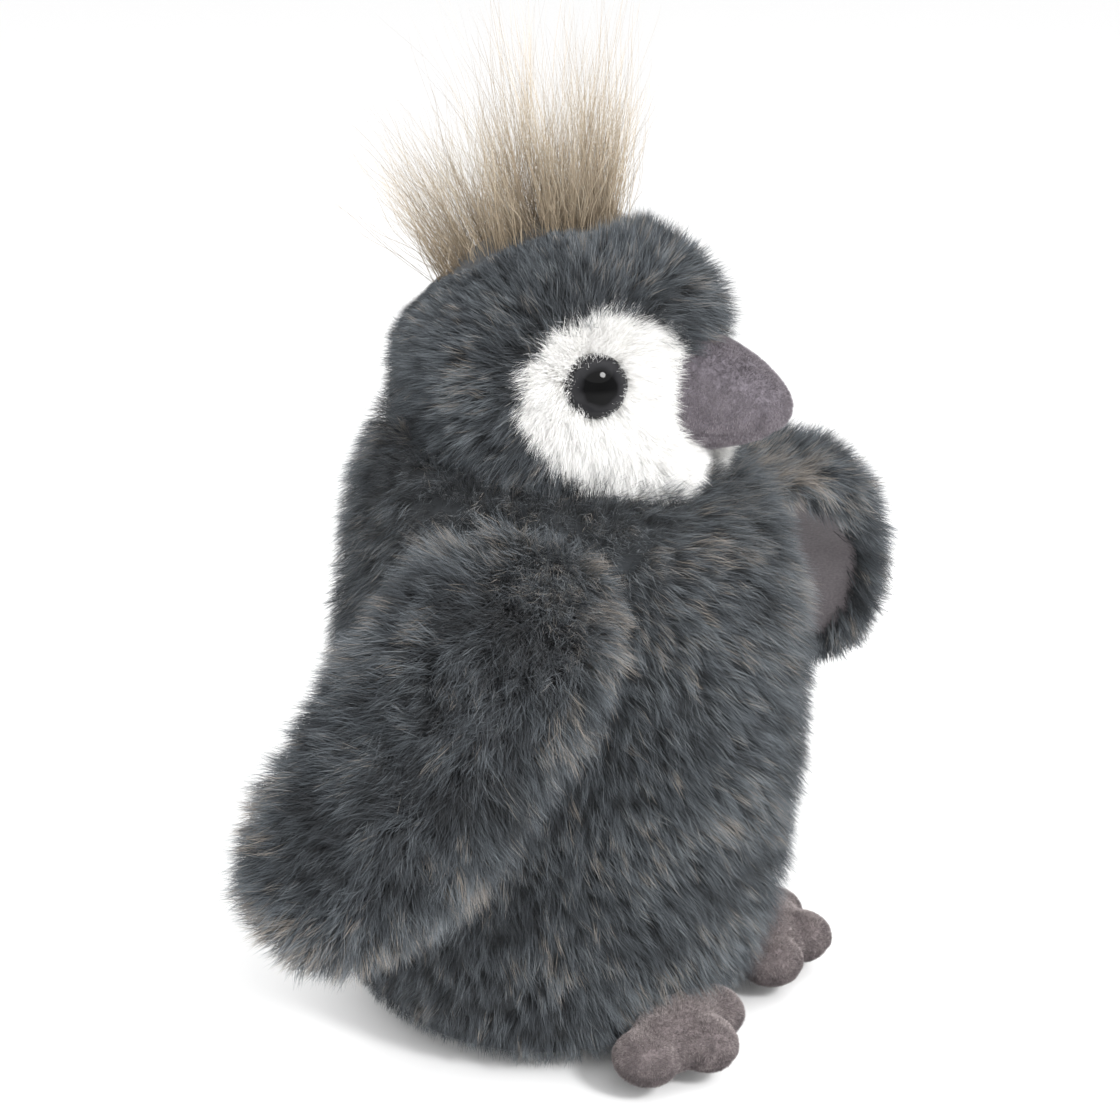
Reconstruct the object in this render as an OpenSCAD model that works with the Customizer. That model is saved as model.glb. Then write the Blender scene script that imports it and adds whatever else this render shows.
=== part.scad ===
// Plush penguin chick, standing on a weighted base, with hinged wings and feet.
// Millimetres. +Z is up, the face looks along -Y, and the origin is the middle of the underside.

/* [Body] */
// Widest radius of the body, over the pile
body_r = 58; // [55:0.5:60]
// Height of the neck seam above the floor
neck_z = 130; // [126:1:133]
// Radius of the flat base panel
base_r = 40; // [36:1:42]
// Thickness of the long pile fabric with its pile
pile_t = 8; // [6:0.5:9]
// Angle from the middle of the belly to each side seam
side_seam_angle = 55; // [45:1:65]

/* [Head] */
// Radius of the head, over the pile
head_r = 38.5; // [37:0.5:39.5]
// How far the head's middle sits above the neck seam
head_lift = 21.5; // [19:0.5:21.5]
// Half width of the panel that runs from the forehead to the nape
crown_half_w = 15.5; // [15:0.5:16]
// Radius of each white face patch
patch_r = 22; // [22:0.5:24]
// Angle from the front to the middle of each face patch
patch_angle = 43; // [39:1:44]

/* [Eyes] */
// Diameter of the plastic eye
eye_d = 14; // [12:0.5:15]
// Angle from the front to each eye
eye_angle = 51; // [47:1:53]
// Height of the eyes above the middle of the head
eye_lift = 5; // [2:0.5:6]

/* [Beak] */
// Radius of the beak where it meets the face
beak_r = 13; // [11:0.5:14]
// Distance of the beak's tip from the middle of the head
beak_reach = 55; // [52:1:62]
// How far the beak's axis lies below the middle of the head
beak_drop = 0.5; // [0:0.5:4]

/* [Tuft] */
// Height of the tuft's longest hair above the floor
tuft_top = 230; // [215:1:240]
// Width of the tuft from side to side at its front
tuft_w = 8; // [6:0.5:10]
// Width of the strip of short pile on each side of the tuft
tuft_edge = 3; // [2:0.5:5]

/* [Wings] */
// Length of a wing below its shoulder seam
wing_len = 96; // [84:1:100]
// Width of a wing
wing_w = 60; // [50:1:62]
// Thickness of a wing
wing_t = 18; // [18:0.5:19]
// How far the right wing stands out from the vertical
right_splay = 26; // [26:1:60]
// How far the left wing stands out from the vertical
left_splay = 38; // [30:1:60]
// How far the right wing sweeps back
right_sweep = 29; // [0:1:34]
// How far the left wing sweeps back
left_sweep = 10; // [-8:1:34]

/* [Feet] */
// Angle from the front to each ankle
ankle_angle = 30; // [28:1:34]
// Turn of each foot outwards
foot_splay = 20; // [14:1:26]
// Height of a foot
foot_h = 12; // [11:0.5:12]
// Clearance of the soles above the floor
foot_z = 4.5; // [3:0.5:6]

/* [Hidden] */
$fn = 64;

slate = [0.25, 0.28, 0.31];
mauve = [0.43, 0.38, 0.40];
white_pile = [0.95, 0.95, 0.93];
taupe = [0.58, 0.51, 0.44];
fill_white = [0.90, 0.90, 0.88];
eye_black = [0.04, 0.04, 0.04];

left = 1;
right = -1;
far = 200;            // larger than the whole toy, for cutting blocks
velour_t = 1.5;       // thickness of the velour
body_steps = 4;       // profile points between two stations

// Stations of the body's outline from the base seam up to the neck seam: radius, height
body_stations = [
    [base_r, 0],
    [body_r - 9, 5],
    [body_r - 4, 18],
    [body_r - 1, 38],
    [body_r, 60],
    [body_r - 1, 84],
    [body_r - 4.5, 104],
    [body_r - 12, neck_z - 9],
    [body_r - 26, neck_z]
];
head_c = [0, -1, neck_z + head_lift];
head_in = head_r - pile_t;
beak_c = head_c - [0, 0, beak_drop];
chin_half_w = crown_half_w + 3.5; // the white fabric under the beak reaches this far to each side
beak_root = 22;       // the beak's base, as a distance from the middle of the head
nose_len = 31;        // length of the beak's rounded part

eye_seat = head_in + 2.5;    // distance of the eye's flat back from the middle of the head
eye_dome_h = 5;
stem_r = 1.8;
stem_len = 13;
ridge = 0.3;                 // depth of the ridges on the stem
washer_r = 7;
washer_t = 1.6;
washer_far = head_in - 1;    // distance of the washer's outer face from the middle of the head
play = 0.2;                  // room around the hard parts

pouch_c = 31;                // height of the middle of the pellet pouch
pouch_r = 38;
pouch_h = 40;
pouch_t = 0.6;

root_r = 5;                  // radius of the rolled seam at the top of a wing
root_w = 30;
shoulder_angle = 22;         // the shoulders lie this far in front of the sides
shoulder = [52.5, 124];      // distance of the hinge line from the body's axis, and its height
wing_mid = wing_len / 2;

ankle_r = 52.4;              // distance of each ankle's hinge line from the body's axis
ankle_z = foot_z + foot_h / 2;
toe_gap = 14.2;              // distance of the outer toes from the middle toe
notch = [46, 30, 25];        // room that the pile leaves round each ankle
backing_t = 1.5;             // thickness of the pile fabric's knitted backing

// ---- Curves ----

// A point on the Catmull-Rom curve through four stations
function curve_point(a, b, c, d, t) =
    0.5 * (2 * b + (c - a) * t + (2 * a - 5 * b + 4 * c - d) * t * t + (3 * b - a - 3 * c + d) * t * t * t);

// A smooth line through stations, with body_steps pieces between two of them
function smooth_line(s) = concat(
    [for (i = [0 : len(s) - 2], k = [0 : body_steps - 1])
        curve_point(s[max(i - 1, 0)], s[i], s[i + 1], s[min(i + 2, len(s) - 1)], k / body_steps)],
    [s[len(s) - 1]]
);

// The same line moved inwards by t
function inset_line(p, t) = [
    for (i = [1 : len(p) - 2])
        let (run = p[i + 1] - p[i - 1])
            p[i] + t * [-run[1], run[0]] / norm(run)
];

body_outer = smooth_line(body_stations);

// The body's outline under a layer of thickness t, without its ends
function layer_line(t) = [
    for (p = inset_line(body_outer, t)) if (p[0] > base_r + 1 && p[1] < neck_z - 9) p
];

body_inner = layer_line(pile_t);
neck_inner = [body_r - 26 - pile_t, neck_z];

// Half an oval from its lowest to its highest point
function half_oval(r, h, steps = 12) = [for (i = [0 : steps]) [r * sin(180 * i / steps), -h / 2 * cos(180 * i / steps)]];

// The beak's outline, from its base to its tip
function beak_line(r, reach) = concat(
    [[r, beak_root]],
    [for (i = [0 : 11]) let (u = i / 11) [r * sqrt(1 - pow(u, 2.2)), reach - nose_len * (1 - u)]]
);

// ---- Helpers ----

module oval(r) {
    scale([1, r[1] / r[0], r[2] / r[0]]) sphere(r = r[0]);
}

// Everything on one side of the X = 0 plane
module half_space(side, from = 0) {
    translate([side > 0 ? from : -from - far, -far / 2, -far / 2]) cube([far, far, far]);
}

// Puts a shape whose +Z points outwards on the head, at an angle from the front
module on_head(side, angle, lift = 0) {
    translate(head_c) rotate([0, 0, side * angle]) rotate([90 - asin(lift / head_r), 0, 0]) children();
}

// ---- Body covers ----

module body_band(start, angle) {
    rotate([0, 0, start])
        rotate_extrude(angle = angle)
            polygon(concat(
                body_outer,
                [neck_inner],
                [for (i = [len(body_inner) - 1 : -1 : 0]) body_inner[i]],
                [[base_r, pile_t]]
            ));
}

module belly_panel() {
    color(slate) difference() {
        body_band(270 - side_seam_angle, 2 * side_seam_angle);
        for (side = [left, right]) foot_notch(side);
    }
}

module back_panel_left() {
    color(slate) body_band(270 + side_seam_angle, 180 - side_seam_angle);
}

module back_panel_right() {
    color(slate) body_band(90, 180 - side_seam_angle);
}

module base_panel() {
    color(slate) cylinder(r = base_r, h = pile_t);
}

// ---- Head covers ----

module head_shell() {
    difference() {
        translate(head_c) sphere(r = head_r);
        translate(head_c) sphere(r = head_in);
        translate([-far / 2, -far / 2, neck_z - far]) cube([far, far, far]);
    }
}

module patch_area(side) {
    on_head(side, patch_angle) cylinder(r = patch_r, h = far / 4);
    translate([side > 0 ? 0 : -chin_half_w, -far / 4, neck_z - 1])
        cube([chin_half_w, far / 4 - 12, head_lift - beak_drop + 1]);
}

module beak_solid(inset = 0) {
    translate(beak_c)
        rotate([90, 0, 0])
            rotate_extrude()
                polygon(concat([[0, beak_root]], beak_line(beak_r - inset, beak_reach - inset)));
}

module crown_panel() {
    color(slate) difference() {
        intersection() {
            head_shell();
            translate([-crown_half_w, -far / 2, 0]) cube([2 * crown_half_w, far, far + 50]);
        }
        patch_area(left);
        patch_area(right);
        beak_solid();
        tuft_fan();
    }
}

module head_side(side) {
    color(slate) difference() {
        intersection() {
            head_shell();
            translate([0, 0, head_c[2]]) half_space(side, crown_half_w);
        }
        patch_area(side);
    }
}

module head_side_left() { head_side(left); }
module head_side_right() { head_side(right); }

module face_patch(side) {
    color(white_pile) difference() {
        intersection() {
            head_shell();
            patch_area(side);
        }
        beak_solid();
        on_head(side, eye_angle, eye_lift) {
            cylinder(r = stem_r + play, h = far / 4);
            translate([0, 0, eye_seat]) cylinder(r = eye_d / 2 + play, h = far / 4);
        }
    }
}

module face_patch_left() { face_patch(left); }
module face_patch_right() { face_patch(right); }

// ---- Beak ----

module beak_part(inset, low, high) {
    intersection() {
        difference() {
            beak_solid(inset);
            translate(head_c) sphere(r = head_in);
            children();
        }
        translate([-far / 2, -far / 2, beak_c[2] + low]) cube([far, far, high - low]);
    }
}

// Height of the seam between cover and gusset, measured from the beak's axis
gusset_top = -6;

module beak_cover() {
    color(mauve) beak_part(0, gusset_top, far / 2) beak_solid(velour_t);
}

module beak_gusset() {
    color(mauve) beak_part(0, -far / 2, gusset_top) beak_solid(velour_t);
}

module beak_filling() {
    color(fill_white) beak_part(velour_t, -far / 2, far / 2);
}

// ---- Eyes ----

module eye(side) {
    color(eye_black)
        on_head(side, eye_angle, eye_lift)
            translate([0, 0, eye_seat])
                rotate_extrude()
                    polygon(concat(
                        [[0, -stem_len], [stem_r - ridge - 0.4, -stem_len]],
                        [for (i = [0 : 4], k = [0, 1]) [stem_r - (k == 0 ? 0 : ridge), -stem_len + 1.2 + i * 2 + k]],
                        [[stem_r - ridge, 0]],
                        [for (i = [0 : 10])
                            [eye_d / 2 * cos(9 * i), 0.8 + (eye_dome_h - 0.8) * sin(9 * i)]]
                    ));
}

module eye_left() { eye(left); }
module eye_right() { eye(right); }

module eye_washer(side) {
    color(fill_white)
        on_head(side, eye_angle, eye_lift)
            translate([0, 0, washer_far - washer_t])
                difference() {
                    cylinder(r = washer_r, h = washer_t);
                    translate([0, 0, -1]) cylinder(r = stem_r + 0.05, h = washer_t + 2);
                }
}

module eye_washer_left() { eye_washer(left); }
module eye_washer_right() { eye_washer(right); }

// ---- Tuft ----

// The fan of hair seen from the side, from its foot inside the crown to its tips
module tuft_outline() {
    head_z = head_c[2];
    polygon([
        [head_z + 22, -15],
        [head_z + 36, -20],
        [tuft_top - 6, -22],
        [tuft_top, -8],
        [tuft_top, 10],
        [tuft_top - 18, 30],
        [tuft_top - 38, 44],
        [tuft_top - 56, 40],
        [head_z + 14, 26],
        [head_z + 22, 0]
    ]);
}

// The fan seen from above, narrow in front and nearly as wide as the crown panel behind
module tuft_plan() {
    back_w = 2 * (crown_half_w - tuft_edge);
    polygon([
        [-tuft_w / 2, -30],
        [tuft_w / 2, -30],
        [tuft_w / 2, -16],
        [back_w / 2, 0],
        [back_w / 2, 50],
        [-back_w / 2, 50],
        [-back_w / 2, 0],
        [-tuft_w / 2, -16]
    ]);
}

module tuft_fan() {
    intersection() {
        translate([crown_half_w, 0, 0])
            rotate([0, -90, 0])
                linear_extrude(height = 2 * crown_half_w)
                    tuft_outline();
        linear_extrude(height = tuft_top + 1) tuft_plan();
    }
}

module head_tuft() {
    color(taupe) difference() {
        tuft_fan();
        translate(head_c) sphere(r = head_in);
    }
}

// ---- Filling ----

module head_filling() {
    color(fill_white) difference() {
        translate(head_c) sphere(r = head_in);
        translate([-far / 2, -far / 2, neck_z - far]) cube([far, far, far]);
        for (side = [left, right])
            on_head(side, eye_angle, eye_lift) {
                translate([0, 0, eye_seat - stem_len - 1]) cylinder(r = stem_r + play, h = far / 4);
                translate([0, 0, washer_far - washer_t - play]) cylinder(r = washer_r + play, h = far / 4);
            }
    }
}

module pouch_solid(inset) {
    translate([0, 0, pouch_c])
        rotate_extrude()
            polygon(half_oval(pouch_r - inset, pouch_h - 2 * inset, 16));
}

module body_filling() {
    color(fill_white) difference() {
        rotate_extrude()
            polygon(concat([[0, pile_t], [base_r, pile_t]], body_inner, [neck_inner, [0, neck_z]]));
        pouch_solid(0);
    }
}

module pellet_pouch() {
    color([0.85, 0.84, 0.80]) difference() {
        pouch_solid(0);
        pouch_solid(pouch_t);
    }
}

module pellets() {
    color([0.80, 0.80, 0.82]) pouch_solid(pouch_t);
}

// ---- Wings ----

// The wing's own frame: +X away from the body, Y along the shoulder seam, -Z down the wing
module on_shoulder(side, splay) {
    mirror([side > 0 ? 0 : 1, 0, 0])
        rotate([0, 0, -shoulder_angle])
            translate([shoulder[0], 0, shoulder[1]])
                rotate([0, -splay, 0])
                    children();
}

module wing_blade(sweep, inset_w, thickness, shift = 0) {
    rotate([sweep, 0, 0])
        translate([shift, 0, -wing_mid])
            oval([thickness / 2, wing_w / 2 - inset_w, wing_mid - inset_w]);
}

module wing_solid(sweep) {
    wing_blade(sweep, 0, wing_t);
    rotate([90, 0, 0]) cylinder(r = root_r, h = root_w, center = true);
}

module wing_core(sweep) {
    wing_blade(sweep, pile_t - 2, wing_t - pile_t, -2.2);
}

// The plane between lining and pile cover, measured from the middle of the wing's thickness
lining_plane = -wing_t / 2 + 4;

module wing_part(side, splay, sweep, low, high) {
    on_shoulder(side, splay)
        difference() {
            intersection() {
                wing_solid(sweep);
                translate([low, -far / 2, -far / 2]) cube([high - low, far, far]);
            }
            wing_core(sweep);
        }
}

module wing_fur(side, splay, sweep) {
    color(slate) wing_part(side, splay, sweep, lining_plane, far);
}

module wing_lining(side, splay, sweep) {
    color(mauve) wing_part(side, splay, sweep, -far, lining_plane);
}

module wing_filling(side, splay, sweep) {
    color(fill_white) on_shoulder(side, splay) wing_core(sweep);
}

module wing_fur_left() { wing_fur(left, left_splay, left_sweep); }
module wing_lining_left() { wing_lining(left, left_splay, left_sweep); }
module wing_filling_left() { wing_filling(left, left_splay, left_sweep); }
module wing_fur_right() { wing_fur(right, right_splay, right_sweep); }
module wing_lining_right() { wing_lining(right, right_splay, right_sweep); }
module wing_filling_right() { wing_filling(right, right_splay, right_sweep); }

// ---- Feet ----

// The foot's own frame: X along the ankle's hinge line, -Y towards the toes
module on_ankle(side) {
    rotate([0, 0, side * ankle_angle])
        translate([0, -ankle_r, ankle_z])
            rotate([0, 0, side * (foot_splay - ankle_angle)])
                children();
}

// A round cushion as wide as r, standing on the foot's middle plane
module foot_lobe(r, inset) {
    rotate_extrude() polygon(half_oval(r - inset, foot_h - 2 * inset, 8));
}

// A rounded pad with three toes, the middle one furthest forward
module foot_solid(inset) {
    translate([0, -3.4, 0]) foot_lobe(9, inset);
    translate([0, -8.5, 0]) foot_lobe(7.5, inset);
    for (side = [left, right]) {
        translate([side * toe_gap / 2, -3.2, 0]) foot_lobe(7, inset);
        translate([side * toe_gap, -2.5, 0]) foot_lobe(7.5, inset);
    }
}

// What the belly's pile makes room for, so that the foot can turn
module foot_notch(side) {
    difference() {
        rotate([0, 0, side * ankle_angle])
            translate([-notch[0] / 2, -ankle_r - notch[1] / 2, -1])
                cube(notch);
        rotate_extrude()
            polygon(concat(
                [[0, pile_t - backing_t], [base_r, pile_t - backing_t]],
                layer_line(pile_t - backing_t),
                [[0, neck_z - 9]]
            ));
    }
}

// Height of the seam between cover and sole, measured from the foot's middle plane
sole_top = -2.5;

module foot_part(side, low, high) {
    on_ankle(side)
        difference() {
            intersection() {
                foot_solid(0);
                translate([-far / 2, -far / 2, low]) cube([far, far, high - low]);
            }
            foot_solid(velour_t);
        }
}

module foot_cover(side) { color(mauve) foot_part(side, sole_top, far); }
module foot_sole(side) { color(mauve) foot_part(side, -far, sole_top); }
module foot_filling(side) { color(fill_white) on_ankle(side) foot_solid(velour_t); }

module foot_cover_left() { foot_cover(left); }
module foot_sole_left() { foot_sole(left); }
module foot_filling_left() { foot_filling(left); }
module foot_cover_right() { foot_cover(right); }
module foot_sole_right() { foot_sole(right); }
module foot_filling_right() { foot_filling(right); }

// ---- Assembly ----

belly_panel();
back_panel_left();
back_panel_right();
base_panel();
crown_panel();
head_side_left();
head_side_right();
face_patch_left();
face_patch_right();
beak_cover();
beak_gusset();
beak_filling();
eye_left();
eye_right();
eye_washer_left();
eye_washer_right();
head_tuft();
head_filling();
body_filling();
pellet_pouch();
pellets();
wing_fur_left();
wing_lining_left();
wing_filling_left();
wing_fur_right();
wing_lining_right();
wing_filling_right();
foot_cover_left();
foot_sole_left();
foot_filling_left();
foot_cover_right();
foot_sole_right();
foot_filling_right();
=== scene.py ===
import math

import bmesh
import bpy
import numpy as np
from mathutils import Matrix, Vector


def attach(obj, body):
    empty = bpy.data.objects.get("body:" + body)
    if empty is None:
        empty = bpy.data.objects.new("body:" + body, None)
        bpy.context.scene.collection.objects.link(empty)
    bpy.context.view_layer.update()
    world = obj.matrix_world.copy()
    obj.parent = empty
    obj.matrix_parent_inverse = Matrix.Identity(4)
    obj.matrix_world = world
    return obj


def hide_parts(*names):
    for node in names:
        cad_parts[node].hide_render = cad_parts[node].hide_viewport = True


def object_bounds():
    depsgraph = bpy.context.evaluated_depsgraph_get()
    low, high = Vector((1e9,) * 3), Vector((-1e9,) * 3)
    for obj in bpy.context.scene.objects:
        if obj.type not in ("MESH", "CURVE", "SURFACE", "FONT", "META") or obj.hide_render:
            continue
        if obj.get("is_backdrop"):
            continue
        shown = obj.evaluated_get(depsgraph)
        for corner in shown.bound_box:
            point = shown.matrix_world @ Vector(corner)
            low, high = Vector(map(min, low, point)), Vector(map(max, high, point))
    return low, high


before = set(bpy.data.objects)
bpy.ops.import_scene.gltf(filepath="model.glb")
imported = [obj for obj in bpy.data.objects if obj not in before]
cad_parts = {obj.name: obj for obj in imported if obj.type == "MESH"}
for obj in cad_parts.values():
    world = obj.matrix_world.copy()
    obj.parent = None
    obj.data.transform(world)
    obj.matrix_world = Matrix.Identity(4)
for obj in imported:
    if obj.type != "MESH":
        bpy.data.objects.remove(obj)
CAD_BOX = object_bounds()
MM = 0.001
# The share of the strands that is made
SHARE = 1.0

# ---- Sizes, in millimetres ----

# The head under its pile
HEAD_C = np.array([0.0, -1.0, 151.5])
HEAD_R = 33.5

# The eyes and the white patches round them; an angle of 0 looks straight ahead
EYE_ANGLE, EYE_LIFT, EYE_R = math.radians(51), 5.0, 7.0
EYE_DOME, EYE_SEAT, EYE_REACH = 4.6, 33.0, 38.5
PATCH_ANGLE, PATCH_R = math.radians(43), 18.4

# The middle of the beak's base and the height of the seam along its sides
BEAK_BASE_Z, BEAK_BASE_R, BEAK_MID_Z, BEAK_SEAM_Z = 151.0, 13.0, 150.0, 143.4

# The long hair's strip: its angle at the forehead, how far it runs to the nape, and the sphere it grows from
TUFT_START, TUFT_RUN, TUFT_ROOT_R = -22, 76, 33.0

# Shoulders and ankles
SHOULDER_ANGLE, SHOULDER = math.radians(22), (52.5, 124.0)
ANKLE_ANGLE, ANKLE_R, ANKLE_Z, FOOT_SPLAY = math.radians(30), 52.4, 10.5, math.radians(20)

# For each wing: side, angle out from the body, angle forward
WINGS = {"left": (1, math.radians(38), math.radians(10)), "right": (-1, math.radians(26), math.radians(29))}
SIDES = {"left": 1, "right": -1}

# Most triangles that one piece of pile may have, and the least height of a strand above the floor, in metres
MOST_TRIANGLES = 185000
FLOOR_GAP = 0.0003

# The number of points in most rings
AROUND = 64


# ---- Materials ----

# A colour in linear light from its hexadecimal code
def linear(code):
    out = []
    for i in (0, 2, 4):
        c = int(code[i:i + 2], 16) / 255
        out.append(c / 12.92 if c <= 0.04045 else ((c + 0.055) / 1.055) ** 2.4)
    return out + [1.0]


# A new material with its nodes, links and shader
def new_material(name, roughness, sheen=0.0):
    m = bpy.data.materials.new(name)
    m.use_nodes = True
    shader = m.node_tree.nodes["Principled BSDF"]
    shader.inputs["Roughness"].default_value = roughness
    shader.inputs["Sheen Weight"].default_value = sheen
    shader.inputs["Sheen Roughness"].default_value = 0.5
    return m, m.node_tree.nodes, m.node_tree.links, shader


# A colour ramp with the given places and colours
def ramp(nodes, stops):
    r = nodes.new("ShaderNodeValToRGB")
    elements = r.color_ramp.elements
    while len(elements) < len(stops):
        elements.new(0.5)
    for e, (place, code) in zip(elements, stops):
        e.position = place
        e.color = linear(code)
    return r


# Strands take their colour from their own layout: U is the strand's tone and V runs from root to tip
def strand_material(name, roots, tips, roughness=0.75, sheen=0.1, bias=1.2):
    m, nodes, links, shader = new_material(name, roughness, sheen)
    layout = nodes.new("ShaderNodeUVMap")
    layout.uv_map = "OFBake"
    parts = nodes.new("ShaderNodeSeparateXYZ")
    links.new(layout.outputs["UV"], parts.inputs[0])
    low, high = ramp(nodes, roots), ramp(nodes, tips)
    links.new(parts.outputs["X"], low.inputs[0])
    links.new(parts.outputs["X"], high.inputs[0])
    power = nodes.new("ShaderNodeMath")
    power.operation = "POWER"
    power.inputs[1].default_value = bias
    links.new(parts.outputs["Y"], power.inputs[0])
    mix = nodes.new("ShaderNodeMix")
    mix.data_type = "RGBA"
    links.new(power.outputs[0], mix.inputs["Factor"])
    links.new(low.outputs[0], mix.inputs["A"])
    links.new(high.outputs[0], mix.inputs["B"])
    links.new(mix.outputs["Result"], shader.inputs["Base Color"])
    return m


# Cloth under the strands and short velour: mottled colour and a fine nap
def cloth_material(name, stops, grain=900.0, bump=0.35, patches=120.0):
    m, nodes, links, shader = new_material(name, 0.9, 0.2)
    place = nodes.new("ShaderNodeTexCoord")
    fine = nodes.new("ShaderNodeTexNoise")
    fine.inputs["Scale"].default_value = grain
    fine.inputs["Detail"].default_value = 3
    broad = nodes.new("ShaderNodeTexNoise")
    broad.inputs["Scale"].default_value = patches
    broad.inputs["Detail"].default_value = 4
    for n in (fine, broad):
        links.new(place.outputs["Object"], n.inputs["Vector"])
    mix = nodes.new("ShaderNodeMix")
    mix.inputs["Factor"].default_value = 0.45
    links.new(fine.outputs["Fac"], mix.inputs["A"])
    links.new(broad.outputs["Fac"], mix.inputs["B"])
    colours = ramp(nodes, stops)
    links.new(mix.outputs["Result"], colours.inputs[0])
    links.new(colours.outputs[0], shader.inputs["Base Color"])
    b = nodes.new("ShaderNodeBump")
    b.inputs["Strength"].default_value = bump
    b.inputs["Distance"].default_value = 0.0004
    links.new(fine.outputs["Fac"], b.inputs["Height"])
    links.new(b.outputs[0], shader.inputs["Normal"])
    return m


SLATE = strand_material(
    "slate_pile",
    [(0.0, "0f1113"), (0.5, "1c1f22"), (1.0, "2f2e2d")],
    [(0.0, "2c2f33"), (0.35, "4f555b"), (0.7, "767d83"), (0.88, "949a9e"), (1.0, "aea397")],
)
WHITE = strand_material(
    "white_pile",
    [(0.0, "f2f1ee"), (1.0, "faf9f7")],
    [(0.0, "fbfaf8"), (1.0, "ffffff")],
    0.85, 0.0,
)
HAIR = strand_material(
    "tuft_hair",
    [(0.0, "574a3c"), (0.5, "84755f"), (1.0, "a8977f")],
    [(0.0, "827461"), (0.5, "ab9d88"), (1.0, "d0c5b3")],
    0.6, 0.05, 0.8,
)
FUZZ = strand_material(
    "velour_nap",
    [(0.0, "4d464c"), (1.0, "72696f")],
    [(0.0, "655f63"), (0.5, "89838a"), (1.0, "b3acb1")],
    0.85, 0.15,
)
FEET_FUZZ = strand_material(
    "foot_nap",
    [(0.0, "453e40"), (1.0, "7a7071")],
    [(0.0, "5c5455"), (0.5, "968b8b"), (1.0, "d8cecb")],
    0.85, 0.15,
)
BACKING = cloth_material("dark_backing", [(0.3, "1b1e21"), (0.7, "2b2f33")])
WHITE_BACKING = cloth_material("white_backing", [(0.3, "eeece8"), (0.7, "faf9f6")])
VELOUR = cloth_material(
    "velour", [(0.3, "59535a"), (0.55, "676168"), (0.75, "767077")], 1500.0, bump=0.15, patches=40.0)
FOOT_VELOUR = cloth_material(
    "foot_velour", [(0.3, "655c5d"), (0.55, "796f70"), (0.75, "8a8080")], 1500.0, bump=0.15, patches=40.0)
LINING = cloth_material("lining_velour", [(0.3, "484346"), (0.55, "5a5457"), (0.75, "6a6366")], 1500.0)


# Eye plastic: black in the middle and dark grey towards the rim, along the dome's own layout
def eye_material(name, stops):
    m, nodes, links, shader = new_material(name, 0.06)
    layout = nodes.new("ShaderNodeUVMap")
    layout.uv_map = "OFBake"
    parts = nodes.new("ShaderNodeSeparateXYZ")
    links.new(layout.outputs["UV"], parts.inputs[0])
    colours = ramp(nodes, stops)
    links.new(parts.outputs["X"], colours.inputs[0])
    links.new(colours.outputs[0], shader.inputs["Base Color"])
    shader.inputs["Specular IOR Level"].default_value = 0.10
    return m


EYE = eye_material(
    "eye_plastic", [(0.0, "020202"), (0.50, "040405"), (0.62, "1f1f21"), (0.80, "29292b"), (0.95, "1b1b1d")])


# ---- Helpers ----

# Vectors of length 1
def unit(v):
    return v / np.maximum(np.linalg.norm(v, axis=-1, keepdims=True), 1e-9)


# A smooth bell: 1 at the middle, fading to 0 over about twice the width on each side
def bell(x, middle, width):
    return np.exp(-(((x - middle) / width) ** 2))


# A smooth field of values near -1 to 1 that varies over about the given distance in millimetres
def field(p, distance, seed):
    r = np.random.default_rng(seed)
    total = np.zeros(len(p))
    for i in range(7):
        way = unit(r.normal(size=3)) * (2 * math.pi / distance) * r.uniform(0.6, 1.5)
        total += np.sin(p @ way + r.uniform(0, 6.28))
    return total / 3.0


# A smooth object in the scene, from points in millimetres
def make_object(name, points, faces, material):
    me = bpy.data.meshes.new(name)
    me.from_pydata((np.asarray(points) * MM).tolist(), [], faces)
    me.validate()
    bm = bmesh.new()
    bm.from_mesh(me)
    bmesh.ops.remove_doubles(bm, verts=bm.verts, dist=1e-6)
    bmesh.ops.recalc_face_normals(bm, faces=bm.faces)
    bm.to_mesh(me)
    bm.free()
    me.materials.append(material)
    me.polygons.foreach_set("use_smooth", [True] * len(me.polygons))
    o = bpy.data.objects.new(name, me)
    bpy.context.scene.collection.objects.link(o)
    return o


# A closed surface through rings of points; the first and last rings are closed with a point
def loft(name, rings, material):
    rings = np.asarray(rings, float)
    count, around = rings.shape[:2]
    points = rings.reshape(-1, 3).tolist()
    faces = []
    for j in range(count - 1):
        for i in range(around):
            k = (i + 1) % around
            faces.append((j * around + i, j * around + k, (j + 1) * around + k, (j + 1) * around + i))
    for row in (0, count - 1):
        points.append(rings[row].mean(0).tolist())
        for i in range(around):
            faces.append((row * around + i, row * around + (i + 1) % around, len(points) - 1))
    return make_object(name, points, faces, material)


# A ring of directions: the sine and cosine of equal steps round a circle
def circle(around=AROUND):
    for i in range(around):
        a = 2 * math.pi * i / around
        yield math.sin(a), math.cos(a)


# Turns the object's modifiers into its mesh
def apply_modifiers(o):
    bpy.context.view_layer.update()
    new = bpy.data.meshes.new_from_object(o.evaluated_get(bpy.context.evaluated_depsgraph_get()))
    o.modifiers.clear()
    o.data = new
    new.polygons.foreach_set("use_smooth", [True] * len(new.polygons))


# Gives the object even faces of the voxel's size, smoothed a number of times
def remesh(o, voxel, smoothing):
    m = o.modifiers.new("remesh", "REMESH")
    m.mode = "VOXEL"
    m.voxel_size = voxel * MM
    s = o.modifiers.new("smooth", "SMOOTH")
    s.iterations = smoothing
    s.factor = 0.5
    apply_modifiers(o)


# The object's points, in millimetres
def get_points(o):
    co = np.empty(len(o.data.vertices) * 3)
    o.data.vertices.foreach_get("co", co)
    return co.reshape(-1, 3) / MM


def set_points(o, p):
    o.data.vertices.foreach_set("co", (p * MM).ravel())
    o.data.update()


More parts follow.
